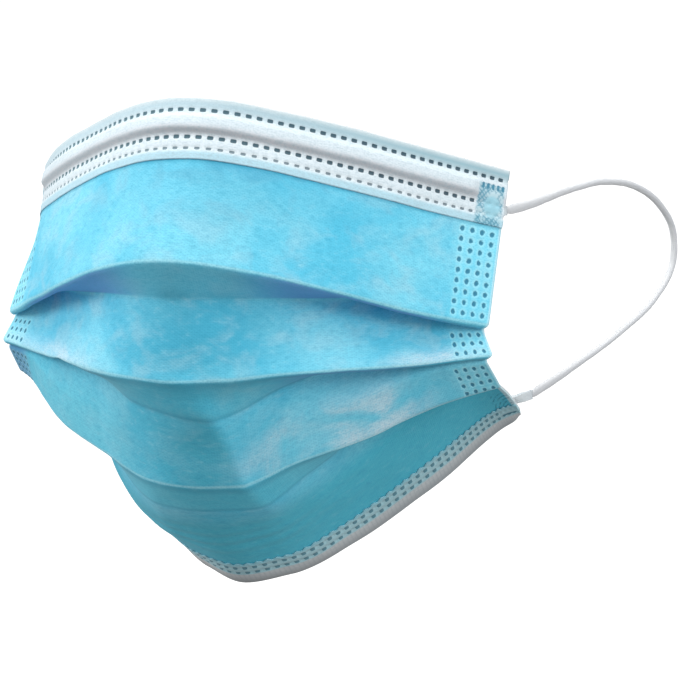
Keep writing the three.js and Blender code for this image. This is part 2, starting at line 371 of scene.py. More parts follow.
class Finish(Nodes):
    """A material of nodes around one Principled shader."""

    def __init__(self, name, **constants):
        self.material = bpy.data.materials.new(name)
        self.material.use_nodes = True
        super().__init__(self.material.node_tree)
        self.shader = self.tree.nodes["Principled BSDF"]
        self.surface(**constants)

    def surface(self, **values):
        for key, value in values.items():
            words = [word if word.isupper() else word.title() for word in key.split("_")]
            self.feed(self.shader.inputs[" ".join(words)], value)

    def cloth_place(self):
        """Distance from the middle and distance below the top edge on the flat cloth."""
        place = self.node("ShaderNodeUVMap", {"uv_map": "cloth"})
        u = self.node("ShaderNodeSeparateXYZ", None, {0: place}, output=0)
        v = self.node("ShaderNodeSeparateXYZ", None, {0: place}, output=1)
        return (u - 0.5) * UV_SPAN, v * UV_SPAN - UV_SHIFT

    def vector(self, x, y, z=0.0):
        return self.node("ShaderNodeCombineXYZ", None, {0: x, 1: y, 2: z})

    def noise(self, place, scale=1.0, detail=2.0, distortion=0.0):
        links = {"Vector": place, "Scale": scale, "Detail": detail, "Distortion": distortion}
        return self.node("ShaderNodeTexNoise", None, links)

    def mix(self, share, first, second):
        return self.node("ShaderNodeMix", {"data_type": "RGBA"}, {0: share, 6: first, 7: second}, output=2)

    def painted(self, shade, *coats):
        """A shade under coats, each given by its share and colour."""
        for share, code in coats:
            shade = self.mix(share, shade, colour(code))
        return shade

    def bump(self, height, strength, distance):
        links = {"Strength": strength, "Distance": distance * MM, "Height": height}
        return self.node("ShaderNodeBump", None, links)


# Patterns that the cloths share
def fibres(finish, u, v):
    """Fine streaks of laid fibres, along the width of the cloth."""
    long_streaks = finish.noise(finish.vector(u * 0.5, v * 3.2), detail=3)
    short_streaks = finish.noise(finish.vector(u * 1.6, v * 1.1, 4.0), detail=3)
    return long_streaks * 0.6 + short_streaks * 0.4


def bond_points(u, v):
    """Staggered small points where the fibres are bonded."""
    return ((u * (TAU / BOND_PITCH[0])).cosine() * (v * (TAU / BOND_PITCH[1])).cosine()).fade(0.3, 0.9)


def dashes(u, v, row, size=BAND_DASH, pitch=BAND_PITCH):
    """One row of pressed dashes at a distance from the edge."""
    along = ((u / pitch).fract() - 0.5) * (2 * pitch / size[0])
    over = (v - row) * (2 / size[1])
    return (along * along * along * along + over * over * over * over).fade(1.5, 0.6)


def seal_dots(from_edge, v, size):
    """Rows of pressed dots along a side edge, panel by panel."""
    place = ((from_edge - SEAL_FIRST) / SEAL_PITCH + 0.5).fract() - 0.5
    beside = place * (SEAL_PITCH * 2 / size[0])
    found = 0
    for first, count, pitch in SEAL_ROWS:
        row = (v - first) / pitch + 0.5
        below = (row.fract() - 0.5) * (2 / size[1])
        dot = (beside * beside + below * below).fade(1.6, 0.35)
        found = dot * row.fade(-0.02, 0.02) * row.fade(count + 0.02, count - 0.02) + found
    return found * from_edge.fade(SEAL_WIDTH - 0.2, SEAL_WIDTH - 0.5) * from_edge.fade(0.8, 1.2)


def pleat_marks(v):
    """Thin lines on, under and inside the pleats' folds, which carry a painted highlight, a painted shadow and
    painted crease shade, and each pleat's riser.
    """
    fold, under, inner = 0, 0, 0
    for place, (start, end) in zip(LOWER_FOLDS, RISERS):
        fold = v.hump(place - 0.15, 0.5) + fold
        under = v.fade(start + 0.1, start + 0.6) * v.fade(start + 3.2, start + 0.8) + under
        inner = v.hump(end - 0.4, 1.1) + inner
    risers = [v.fade(start + 0.1, start + 0.5) * v.fade(end + 0.4, end - 0.6) for start, end in RISERS]
    return fold, under, inner, risers


# The worn cloth, from the same table as the solids
def across(share, read, turns_at_middle=False):
    """Value of one column of the table at a share of the half width, along a smooth curve."""
    last = len(STATIONS) - 1

    def value(k):
        return read(STATIONS[k])

    def slope(k):
        if k == 0 and not turns_at_middle:
            return 0
        low, high = max(k - 1, 0), min(k + 1, last)
        return (value(high) - value(low)) / (STATIONS[high]["at"] - STATIONS[low]["at"])

    k = 0
    while k < last - 1 and share >= STATIONS[k + 1]["at"]:
        k += 1
    span = STATIONS[k + 1]["at"] - STATIONS[k]["at"]
    t = (share - STATIONS[k]["at"]) / span
    rise = t * t * (3 - 2 * t)
    leaving = t * (1 - t) * (1 - t) * span * slope(k)
    arriving = t * t * (1 - t) * span * slope(k + 1)
    return value(k) + rise * (value(k + 1) - value(k)) + leaving - arriving


def course(share):
    """Heading and fall of the top edge, in radians."""
    heading = math.radians(across(share, lambda row: row["heading"], True))
    return heading, math.radians(across(share, lambda row: row["fall"], True))


def top_edge():
    points = [Vector()]
    step = HALF_WIDTH / EDGE_STEPS
    for k in range(EDGE_STEPS):
        heading, fall = course((k + 0.5) / EDGE_STEPS)
        level = math.cos(fall) * step
        move = (level * math.cos(heading), level * math.sin(heading), -step * math.sin(fall))
        points.append(points[k] + Vector(move))
    return points


def lerp(start, end, share):
    return start + (end - start) * share


def stretches(share):
    """The cloth's stretches from the top edge down, at one station: length, angle, spread, layers behind."""
    lean = [math.radians(across(share, lambda row: row["lean"][k])) for k in range(4)]
    opened = [min(max(across(share, lambda row: row["open"][k]), 0), 1) for k in range(3)]
    turn = LAYER_PITCH / math.cos(course(share)[0])
    shown = (SECOND_PANEL * across(share, lambda row: row["show"]), THIRD_PANEL, CHIN_PANEL)
    spreads = (*FOLD_SPREAD, BOTTOM_SPREAD)
    found = [(TOP_PANEL, lean[0], spreads[0], 0)]
    for k in range(3):
        riser = lerp(lean[k] - math.pi, math.radians(RISER_LEAN[k]), opened[k])
        hidden = lerp(lean[k], lean[k + 1], opened[k])
        closed = 1 - opened[k]
        above = PLEAT_LAYERS * min(PLEAT_DEPTH / shown[k - 1], 1) if k else 0
        below = CORNER_TUCK if k == 2 else PLEAT_LAYERS
        first_turn = lerp(lean[k], riser, 0.5 + FOLD_CRISP * opened[k])
        found.append((turn, first_turn, spreads[k], closed * (1 + LAYER_TUCK)))
        found.append((PLEAT_DEPTH, riser, spreads[k], closed * (above + 1 + LAYER_TUCK)))
        found.append((turn, (riser + hidden) / 2, spreads[k], closed * (above + 2 + LAYER_TUCK)))
        found.append((PLEAT_DEPTH, hidden, spreads[k], closed * below))
        found.append((shown[k], lean[k + 1], spreads[k + 1], 0))
    return found


def corner_places():
    """Distances of the folds below the top edge, on the flat cloth at the middle."""
    places = [0]
    for length, *_ in stretches(0):
        places.append(places[-1] + length)
    return places


EDGE_POINTS = top_edge()
CORNERS = corner_places()
CLOTH_HEIGHT = CORNERS[-1]
LOWER_FOLDS = (CORNERS[1], CORNERS[6], CORNERS[11])
RISERS = ((CORNERS[1], CORNERS[3]), (CORNERS[6], CORNERS[8]), (CORNERS[11], CORNERS[13]))


@functools.cache
def fold_line(u):
    """Corners of the cloth at a distance u from the middle, from the top edge down."""
    share = min(abs(u) / HALF_WIDTH, 1)
    k = min(int(share * EDGE_STEPS), EDGE_STEPS - 1)
    edge = EDGE_POINTS[k].lerp(EDGE_POINTS[k + 1], share * EDGE_STEPS - k)
    heading = course(share)[0]
    points = [Vector((math.copysign(edge.x, u), edge.y, edge.z))]
    y, z = edge.y, edge.z
    for length, angle, spread, behind in stretches(share):
        y -= length * math.sin(angle)
        z -= length * math.cos(angle)
        drawn = behind * LAYER_PITCH * math.tan(heading)
        x = math.copysign(edge.x * spread - drawn * math.cos(heading), u)
        points.append(Vector((x, y - drawn * math.sin(heading), z)))
    return points


def sharp_place(u, v):
    k = min(max(bisect.bisect_right(CORNERS, v) - 1, 0), len(CORNERS) - 2)
    points = fold_line(u)
    return points[k].lerp(points[k + 1], (v - CORNERS[k]) / (CORNERS[k + 1] - CORNERS[k]))


@functools.cache
def soft_place(u, v):
    """Point of the cloth with its folds rounded a little."""
    near = [v + FOLD_ROUNDING * share for share in (-1, -0.5, 0, 0.5, 1)]
    return sum((sharp_place(u, place) for place in near), Vector()) / len(near)


@functools.cache
def outward(u, v):
    step_u, step_v = SLOPE_STEP
    down = soft_place(u, v + step_v) - soft_place(u, v - step_v)
    along = soft_place(min(u + step_u, HALF_WIDTH), v) - soft_place(max(u - step_u, -HALF_WIDTH), v)
    return down.cross(along).normalized()


def smooth(value, start, end):
    t = min(max((value - start) / (end - start), 0), 1)
    return t * t * (3 - 2 * t)


def within(value, span):
    """1 inside a span and 0 outside it, given by where it starts, is full, ends and stops being full."""
    start, full, end, last = span
    return smooth(value, start, full) * smooth(value, end, last)


def middle_crease(u, v):
    """Height of the crease down the middle."""
    start_u, start_v = CREASE_START
    away = abs(u - start_u - CREASE_DRIFT * (v - start_v))
    dip, dip_width = CREASE_DIP
    ridge, ridge_width = CREASE_RIDGE
    raised = ridge * within(v, CREASE_RIDGE_SPAN) * math.exp(-away / ridge_width)
    return raised - dip * within(v, CREASE_DIP_SPAN) * math.exp(-((away / dip_width) ** 2))


def cheek_crease(u, v):
    """Depth of the crease across the left cheek."""
    place = Vector((u, v, 0))
    away = HALF_WIDTH
    for start, end in zip(CHEEK_CREASE, CHEEK_CREASE[1:]):
        start, end = Vector((*start, 0)), Vector((*end, 0))
        share = (place - start).dot(end - start) / (end - start).length_squared
        away = min(away, (place - start.lerp(end, min(max(share, 0), 1))).length)
    return CHEEK_CREASE_DEPTH * math.exp(-away / CHEEK_CREASE_WIDTH)


def chin_wrinkles(u, v):
    """Height of the wrinkles at the top of the chin panel."""
    aside, below = (u - WRINKLE_MIDDLE[0]) / WRINKLE_REACH[0], (v - WRINKLE_MIDDLE[1]) / WRINKLE_REACH[1]
    wave = math.cos((v + WRINKLE_TILT * u + WRINKLE_BEND * u * u) * TAU / WRINKLE_PITCH)
    return WRINKLE_HEIGHT * wave * math.exp(-aside * aside - below * below)


def ripple(u, v):
    """Small unevenness of the handled cloth, which fades towards the sealed side edges."""
    uneven = 0
    for height, length_u, length_v, seed in RIPPLES:
        uneven += height * noise.noise(Vector((u / length_u, v / length_v, seed)))
    free = 1 - (abs(u) / HALF_WIDTH) ** 3
    return uneven * free + middle_crease(u, v) - cheek_crease(u, v) + chin_wrinkles(u, v)


def handled(u, v):
    """Shift of the handled cloth off its even form."""
    total = Vector()
    for push in HANDLED:
        away = [(place - middle) / reach for place, middle, reach in zip((u, v), push["at"], push["reach"])]
        total += Vector(push["shift"]) * math.exp(-(away[0] ** 2) - away[1] ** 2)
    return total


def worn(u, v, height=0):
    """Point of the worn mask at a place of the flat cloth and a height off its middle surface, in metres."""
    return (soft_place(u, v) + outward(u, v) * (height + ripple(u, v)) + handled(u, v)) * MM


# Meshes
def steps(start, end, count):
    return [lerp(start, end, k / count) for k in range(count + 1)]


def joined(*lists):
    """Lists of rising numbers as one, without the doubled ends."""
    return [lists[0][0], *[number for part in lists for number in part[1:]]]


def laid_grid(columns, rows, place):
    """A grid laid from its first row down: place(column, row) gives (flat u, flat v, point)."""
    mesh_data = bmesh.new()
    across_count, down_count = len(columns) - 1, len(rows) - 1
    bmesh.ops.create_grid(mesh_data, x_segments=across_count, y_segments=down_count, size=0.5)
    uv = mesh_data.loops.layers.uv.new("cloth")
    flat = {}
    for vert in mesh_data.verts:
        column = columns[round((vert.co.x + 0.5) * across_count)]
        row = rows[down_count - round((vert.co.y + 0.5) * down_count)]
        u, v, point = place(column, row)
        flat[vert] = (u / UV_SPAN + 0.5, (v + UV_SHIFT) / UV_SPAN)
        vert.co = point
    for face in mesh_data.faces:
        face.smooth = True
        for loop in face.loops:
            loop[uv].uv = flat[loop.vert]
    return mesh_data


def sheet_mesh(name, columns, rows, place):
    """A grid of cloth: columns are distances from the middle, and place(u, row) gives (flat v, point)."""
    return finish_mesh(name, laid_grid(columns, rows, lambda u, row: (u, *place(u, row))))


def finish_mesh(name, mesh_data):
    mesh = bpy.data.meshes.new(name)
    mesh_data.to_mesh(mesh)
    mesh_data.free()
    piece = bpy.data.objects.new(name, mesh)
    bpy.context.collection.objects.link(piece)
    return piece


def thicken(piece, thickness):
    solidify = piece.modifiers.new("cloth thickness", "SOLIDIFY")
    solidify.thickness = thickness * MM
    solidify.offset = 0


def dress(piece, finish, slot, *nodes):
    piece.data.materials.append(finish.material)
    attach(piece, "root")
    if nodes:
        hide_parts(*nodes)


def cloth_rows(pitch):
    """Distances down the cloth with a row on every fold."""
    parts = [steps(a, b, max(FEWEST_ROWS, math.ceil((b - a) / pitch))) for a, b in zip(CORNERS, CORNERS[1:])]
    return joined(*parts)


def cloth_columns(pitch, edge_pitch):
    inner = HALF_WIDTH - SEAL_WIDTH
    edge_count = math.ceil(SEAL_WIDTH / edge_pitch)
    left = steps(-HALF_WIDTH, -inner, edge_count)
    middle = steps(-inner, inner, math.ceil(2 * inner / pitch))
    return joined(left, middle, steps(inner, HALF_WIDTH, edge_count))


def seal_dent(u, v):
    """Depth of the pressed dots of the side seals, in millimetres."""
    from_edge = HALF_WIDTH - abs(u)
    if not 1 < from_edge < SEAL_WIDTH:
        return 0
    beside = (from_edge - SEAL_FIRST) / SEAL_PITCH
    for first, count, pitch in SEAL_ROWS:
        row = (v - first) / pitch
        if -0.5 < row < count - 0.5:
            away = math.hypot((beside - round(beside)) * SEAL_PITCH, (row - round(row)) * pitch)
            return SEAL_DENT * smooth(away, *SEAL_DENT_REACH)
    return 0


def pleated_cloth(name, finish, slot, mesh_steps, thickness, height):
    """One layer of the pleated cloth, at a height off its middle surface."""
    columns = cloth_columns(mesh_steps[0], mesh_steps[1])
    rows = cloth_rows(mesh_steps[2])
    rows[0] = CLOTH_INSET
    rows[-1] = CLOTH_HEIGHT - CLOTH_INSET
    piece = sheet_mesh(name, columns, rows, lambda u, v: (v, worn(u, v, height(u, v))))
    thicken(piece, thickness)
    dress(piece, finish, slot, "pleated_body")
    return piece


def outer_cloth(finish):
    def height(u, v):
        return OUTER_HEIGHT - seal_dent(u, v)

    return pleated_cloth("outer_cloth", finish, "blue_cloth", OUTER_STEPS, OUTER_CLOTH, height)


def lining(finish):
    return pleated_cloth("lining", finish, "white_cloth", LINING_STEPS, LINING, lambda u, v: LINING_HEIGHT)


def dash_dent(u, v, rows, pitch):
    """Depth of the pressed dashes, in millimetres, with a shallow groove along each row."""
    along = ((u / pitch) % 1 - 0.5) * pitch
    depth = 0
    for row in rows:
        away = math.hypot(along * DASH_STRETCH[0], (v - row) * DASH_STRETCH[1])
        depth = max(depth, DASH_DEPTH * smooth(away, *DASH_REACH))
        depth += GROOVE_DEPTH * math.exp(-(((v - row) / GROOVE_WIDTH) ** 2))
    return depth


def wire_ridge(u, v):
    """Height that the nose wire's pocket adds to the band."""
    ends = smooth(abs(u), *[WIRE_LENGTH / 2 + beyond for beyond in RIDGE_RUNOUT])
    span = (RIDGE_START, RIDGE_START + RIDGE_SLOPE, RIDGE_END, RIDGE_END - RIDGE_SLOPE)
    return RIDGE_HEIGHT * ends * within(v, span)


def edge_turn():
    """Rows that turn round an edge from back to front: pairs of distance and share of the height."""
    angles = [math.pi * k / TURN_STEPS for k in range(TURN_STEPS + 1)]
    return [(TURN_MIDDLE - TURN_REACH * math.sin(angle), -math.cos(angle)) for angle in angles]


def edge_band(finish):
    """White cloth folded over the top edge, pressed down in rows of dashes beside the wire's pocket."""
    columns = steps(-HALF_WIDTH, HALF_WIDTH, round(FLAT_WIDTH / BAND_PITCH * COLUMNS_PER_DASH))
    back = [(v, BAND_BACK_HEIGHT) for v in steps(BAND_BACK, BACK_START, 8)]
    turn = [(v, height * BAND_HEIGHT) for v, height in edge_turn()]
    front = [(v, BAND_HEIGHT) for v in steps(FRONT_START, BAND_FRONT, 44)]
    rows = [*back, *turn, *front]

    def place(u, row):
        v, height = row
        if height < BAND_HEIGHT:
            return -v - 1, worn(u, v, height)
        height = lerp(BAND_HEIGHT, FREE_EDGE_HEIGHT, smooth(v, BAND_FRONT - BAND_LIP, BAND_FRONT))
        return v, worn(u, v, height + wire_ridge(u, v) - dash_dent(u, v, BAND_ROWS, BAND_PITCH))

    piece = sheet_mesh("edge_band", columns, rows, place)
    thicken(piece, EDGE_CLOTH)
    dress(piece, finish, "white_cloth", "top_band")
    return piece


def hem(finish):
    """White cloth folded over the bottom edge, with two rows of pressed dashes."""
    columns = steps(-HALF_WIDTH, HALF_WIDTH, round(FLAT_WIDTH / HEM_PITCH * COLUMNS_PER_DASH))
    front = [(w, BAND_HEIGHT) for w in steps(HEM_FRONT, FRONT_START, 28)]
    turn = [(w, -height * BAND_HEIGHT) for w, height in edge_turn()]
    back = [(w, BAND_BACK_HEIGHT) for w in steps(BACK_START, HEM_BACK, 6)]
    rows = [*front, *turn, *back]

    def place(u, row):
        w, height = row
        if height < BAND_HEIGHT:
            return -w - 1, worn(u, CLOTH_HEIGHT - w, height)
        height = lerp(BAND_HEIGHT, FREE_EDGE_HEIGHT, smooth(w, HEM_FRONT - HEM_LIP, HEM_FRONT))
        reach = smooth(w, HEM_FRONT - HEM_TOOTH_REACH, HEM_FRONT)
        tooth = HEM_TOOTH * math.cos(u * TAU / HEM_PITCH) * reach
        return w, worn(u, CLOTH_HEIGHT - w + tooth, height - dash_dent(u, w, HEM_ROWS, HEM_PITCH))

    piece = sheet_mesh("hem", columns, rows, place)
    thicken(piece, EDGE_CLOTH)
    dress(piece, finish, "white_cloth", "bottom_hem")
    return piece


def loop_end(name, side, from_top, distance, cord_end):
    """The flattened end of an ear loop: pressed on the inside of a corner, with a tongue out to the cord."""
    columns = joined(steps(-WELD_TONGUE, 0, 10), steps(0, 1, 26))
    rows = steps(-0.5, 0.5, 14)

    def on_cloth(inset, w, height):
        return worn(side * (HALF_WIDTH - inset), w if from_top else CLOTH_HEIGHT - w, height)

    edge = on_cloth(0, distance, -WELD_DEPTH)
    over = (on_cloth(0, distance + 1, -WELD_DEPTH) - edge).normalized() * MM
    cord_over = Vector((0, 0, math.copysign(MM, over.z)))

    def place(a, b):
        if a < 0:
            tongue = smooth(-a, 0, 1)
            width = lerp(WELD_WIDTH, CORD_DIAMETER * CORD_WIDE * TONGUE_WIDTH, tongue)
            aside = lerp(over, cord_over, tongue) * (b * width)
            return b * WELD_WIDTH, lerp(edge, cord_end, -a) + aside
        inset = a * (WELD_LENGTH - WELD_BEYOND_EDGE)
        width = WELD_WIDTH - WELD_ROUND * smooth(a, 0.7, 1)
        teeth = math.cos(inset * TAU / WELD_TOOTH) * math.cos(b * WELD_WIDTH * TAU / WELD_TOOTH)
        pressed = WELD_TOOTH_DEPTH * teeth
        return b * WELD_WIDTH, on_cloth(inset, distance + b * width, pressed * smooth(a, 0, 0.1) - WELD_DEPTH)

    piece = sheet_mesh(name, columns, rows, place)
    thicken(piece, WELD_THICKNESS)
    return piece


def route(side):
    """Evenly stepped points of an ear loop along a smooth curve through its chosen points, in metres."""
    points = [Vector((side * x, y, z)) * MM for x, y, z in LOOP_POINTS]
    for k, share in enumerate(CORD_PULL):
        points[k] += handled(side * HALF_WIDTH, TOP_WELD_BELOW_EDGE) * share * MM
        points[-1 - k] += handled(side * HALF_WIDTH, CLOTH_HEIGHT - CHIN_WELD_ABOVE_EDGE) * share * MM
    before = points[0] * 2 - points[1]
    after = points[-1] * 2 - points[-2]
    chain = [before, *points, after]
    found = [points[0]]
    for a, b, c, d in zip(chain, chain[1:], chain[2:], chain[3:]):
        found += [catmull(a, b, c, d, k / CORD_STEPS) for k in range(1, CORD_STEPS + 1)]
    return found


def catmull(a, b, c, d, share):
    """Point between b and c on the centripetal curve through four points."""
    knots = [0]
    for start, end in ((a, b), (b, c), (c, d)):
        knots.append(knots[-1] + math.sqrt((end - start).length))
    t = lerp(knots[1], knots[2], share)

    def blend(first, second, low, high):
        return first.lerp(second, (t - knots[low]) / (knots[high] - knots[low]))

    ab, bc, cd = blend(a, b, 0, 1), blend(b, c, 1, 2), blend(c, d, 2, 3)
    return blend(blend(ab, bc, 0, 2), blend(bc, cd, 1, 3), 1, 2)


def ear_loop(name, node, side, finish):
    """Knitted elastic cord: a ribbed tube, wider and flatter where it comes out of a weld."""
    path = route(side)
    lengths = [0]
    for a, b in zip(path, path[1:]):
        lengths.append(lengths[-1] + (b - a).length / MM)
    whole = lengths[-1]
    normal = Vector((0, 0, 1))
    frames = []
    for k, point in enumerate(path):
        ahead = path[min(k + 1, len(path) - 1)] - path[max(k - 1, 0)]
        normal = (normal - ahead * (normal.dot(ahead) / ahead.length_squared)).normalized()
        frames.append((point, normal, ahead.normalized().cross(normal)))

    def place(angle, k):
        point, normal, aside = frames[k]
        end = smooth(min(lengths[k], whole - lengths[k]), CORD_FLARE, 0)
        rib = 1 + CORD_RIB * math.cos(CORD_RIBS * (angle + lengths[k] / CORD_TWIST))
        radius = CORD_DIAMETER / 2 * rib * lerp(CORD_SLIM, 1, end)
        radius *= lerp(1, CORD_TIP[1], smooth(min(lengths[k], whole - lengths[k]), CORD_TIP[0], 0))
        high = radius * lerp(1, CORD_WIDE, end) * math.cos(angle)
        wide = radius * lerp(1, CORD_FLAT, end) * math.sin(angle)
        return lengths[k], point + (normal * high + aside * wide) * MM

    around = steps(0, TAU, CORD_RIBS * 4)
    piece = tube_mesh(name, around, range(len(path)), place)
    dress(piece, finish, "elastic", node)
    return piece


def tube_mesh(name, around, along, place):
    """A grid rolled into a closed tube with capped ends: place(angle, k) gives (flat v, point)."""

    def rolled(angle, k):
        return (angle * CORD_DIAMETER / 2, *place(angle, k))

    mesh_data = laid_grid(around, along[::-1], rolled)
    bmesh.ops.remove_doubles(mesh_data, verts=mesh_data.verts, dist=0.001 * MM)
    bmesh.ops.holes_fill(mesh_data, edges=[edge for edge in mesh_data.edges if edge.is_boundary], sides=0)
    bmesh.ops.recalc_face_normals(mesh_data, faces=mesh_data.faces)
    return finish_mesh(name, mesh_data)


# Finishes
def blue_finish():
    """Blue spunbond: softly clouded and worn pale beside the folds; painted shade deepens the pleats' risers,
    the lower panels, the middle of the second panel, the left of the middle crease and the places under the
    folds and the band, and painted highlights brighten the folds' edges and the third panel's left.
    """
    sheen = dict(sheen_weight=0.1, sheen_roughness=0.5)
    finish = Finish("blue spunbond", roughness=0.85, specular_IOR_level=0.25, **sheen)
    u, v = finish.cloth_place()
    from_edge = HALF_WIDTH - abs(u)
    streaks = fibres(finish, u, v)
    points = bond_points(u, v)
    wobble = (finish.noise(finish.vector(u, v, 3.0), 0.8, 2) - 0.5) * 0.7
    dots = seal_dots(from_edge + wobble, v + wobble, SEAL_DOT)
    halo = seal_dots(from_edge + wobble, v + wobble, (SEAL_DOT[0] * 1.9, SEAL_DOT[1] * 1.8))
    seal = from_edge.fade(SEAL_WIDTH + 2.5, SEAL_WIDTH - 2.5) * v.fade(CORNERS[14], CORNERS[11])
    fold, under, inner, risers = pleat_marks(v)
    grain = finish.noise(finish.vector(u * 0.8, v * 1.5), 1.3, 4)
    broad = finish.noise(finish.vector(u, v, 12.0), 0.035, 4, 0.4).fade(0.38, 0.62)
    mottle = finish.noise(finish.vector(u, v * 1.4, 30.0), 0.11, 6, 0.5).fade(0.42, 0.7)
    flecks = finish.noise(finish.vector(u * 0.8, v * 1.3, 44.0), 0.5, 6)
    clouds = finish.noise(finish.vector(u * 0.8, v * 1.3, 60.0), 0.07, 4, 0.8).fade(0.4, 0.66)
    rubbed_second = v.fade(65, 71.6) * v.fade(72.4, 72.1) * (u.fade(-12, -52) + u.fade(50, 64))
    rubbed_third = v.fade(86, 98) * v.fade(102.4, 102.1) * abs(u - 38).fade(34, 8)
    rubbed = (rubbed_second * (clouds * 0.6 + 0.4) + rubbed_third * clouds) * grain.fade(0.0, 0.6)
    # Painted shade on the top panel just under the band.
    shade_under_band = v.fade(36, 17) * abs(u - 18).fade(52, 8)
    # Painted shade on the left of the middle crease, down the third panel.
    from_crease = u - CREASE_START[0] - (v - CREASE_START[1]) * CREASE_DRIFT
    middle = from_crease.fade(1.6, -1.6) * from_crease.fade(-42, -6) * v.fade(76, 84) * v.fade(112, 98)
    # Painted shade over the middle of the second panel.
    second = abs(u - 8).fade(34, 4) * v.fade(48, 54) * v.fade(72, 66)
    # Painted light on the left of the third panel.
    painted_light_lower_left = u.fade(-14, -34) * v.fade(84, 94) * v.fade(102.4, 102)
    chin = v.fade(CORNERS[13], CORNERS[15])
    # Painted shade on the lower left end, behind the panels.
    shaded_lobe = u.fade(-70, -80) * v.fade(76, 82) * v.fade(124, 118)
    # Painted purple-blue shade in the first pleat's riser towards the sides, and in the second pleat's riser on
    # the right.
    purple_shade = risers[0] * abs(u - 4).fade(9, 30) * from_edge.fade(8, 26)
    purple_shade = purple_shade + risers[1] * abs(u - 46).fade(24, 8) * 0.8
    rim = from_edge.fade(2.3, 1.5) * v.fade(122, 128)
    shade = finish.mix(broad, colour("5CC9E8"), colour("82DCF3"))
    shade = finish.painted(
        shade,
        # Painted shade over the middle of the second panel.
        (second * 0.6, "3FA9C8"),
        # Painted shade on the left of the middle crease.
        (middle * 0.65, "3CAEC6"),
        # Painted shade on the third panel, which faces a little down.
        (v.fade(80, 88) * (1 - chin) * 0.3, "4FC2DC"),
        # Painted light on the left of the third panel.
        (painted_light_lower_left * 0.5, "74DBF0"),
        # Painted shade on the chin panel, which faces down.
        (chin * 0.9, "49BBD1"),
        (mottle * (1 - chin) * (0.45 - v.fade(76, 84) * 0.27), "AAD8E6"),
        (flecks.fade(0.5, 0.75) * 0.28, "2F9DC3"),
        (flecks.fade(0.48, 0.25) * (1 - chin * 0.5) * 0.25, "A4E2F2"),
        # Painted shade under the band, broken by the mottle.
        (shade_under_band * (mottle * 0.4 + 0.35), "3BA8CB"),
        (rubbed * 0.85, "DDEBF2"),
        (seal * 0.45, "93E8FA"),
        # The pleats' risers are painted in shade tones.
        (risers[0] * 0.6, "57BBD8"),
        (risers[1] * 0.5, "4CB5CB"),
        (risers[2] * 0.6, "5AC8DE"),
        # Painted purple-blue shade in the risers.
        (purple_shade * 0.75, "6C9FE2"),
        # Painted shade on the lower left end.
        (shaded_lobe * 0.7, "4C7FBE"),
        # Painted shadow just under the lower folds, and painted shade along the pleats' inner creases.
        (under * v.fade(60, 66) * 0.35, "2A84A6"),
        (inner * v.fade(60, 66) * 0.3, "2A84A6"),
        # Painted highlight along each fold's edge.
        (fold * 0.55, "B4F1FC"),
        # Painted shadow just below the band's lower edge.
        (v.hump(BAND_FRONT + 0.4, 0.8) * 0.3, "2E95B5"),
        (streaks.fade(0.4, 0.68) * 0.36, "38A2C7"),
        (points * 0.16, "2C9DC2"),
        (from_edge.fade(1.1, 0.3) * 0.5, "D9F3FA"),
        (rim * 0.7, "D6E8EC"),
        (chin_weld(finish, from_edge, v) * 0.7, "14708E"),
        (halo * 0.35, "B5F1FC"),
        (dots * 0.9, "1D7292"),
    )
    relief = streaks * 0.9 - points * 0.35 - dots * 1.6 + flecks * 0.8
    finish.surface(base_color=shade, normal=finish.bump(relief, 0.5, 0.14))
    return finish


def chin_weld(finish, from_edge, v):
    """Pressed arcs where an ear loop's lower end is welded behind the cloth."""
    above_edge = CLOTH_HEIGHT - v
    middle_u, middle_v = CHIN_ARCS["middle"]
    away = ((from_edge - middle_u) ** 2 + (above_edge - middle_v) ** 2) ** 0.5
    ring = (away / CHIN_ARCS["pitch"]).fract()
    breaks = finish.noise(finish.vector(from_edge, v, 5.0), 0.9, 2).fade(0.4, 0.55)
    inside = from_edge.fade(9.4, 8.4) * from_edge.fade(0.6, 1.2)
    strip = above_edge.fade(HEM_FRONT - 1, HEM_FRONT) * above_edge.fade(*CHIN_ARCS_END)
    return ring.hump(0.5, 0.3) * breaks * inside * strip


def white_finish(name, shade_code, deep_code):
    """Plain white spunbond, for the lining."""
    finish = Finish(name, roughness=0.85, specular_IOR_level=0.3, sheen_weight=0.15, sheen_roughness=0.6)
    u, v = finish.cloth_place()
    from_edge = HALF_WIDTH - abs(u)
    streaks = fibres(finish, u, v)
    points = bond_points(u, v)
    dots = seal_dots(from_edge, v, SEAL_DOT)
    cloud = finish.noise(finish.vector(u, v), 0.07, 4).fade(0.4, 0.65)
    shade = finish.mix(cloud * 0.4, colour(shade_code), colour(deep_code))
    shade = finish.painted(
        shade,
        (streaks.fade(0.42, 0.7) * 0.3, deep_code),
        (points * 0.25, deep_code),
        (dots * 0.6, "9FB9C4"),
    )
    relief = streaks * 0.7 - points * 0.35 - dots * 1.4
    finish.surface(base_color=shade, normal=finish.bump(relief, 0.5, 0.12))
    return finish


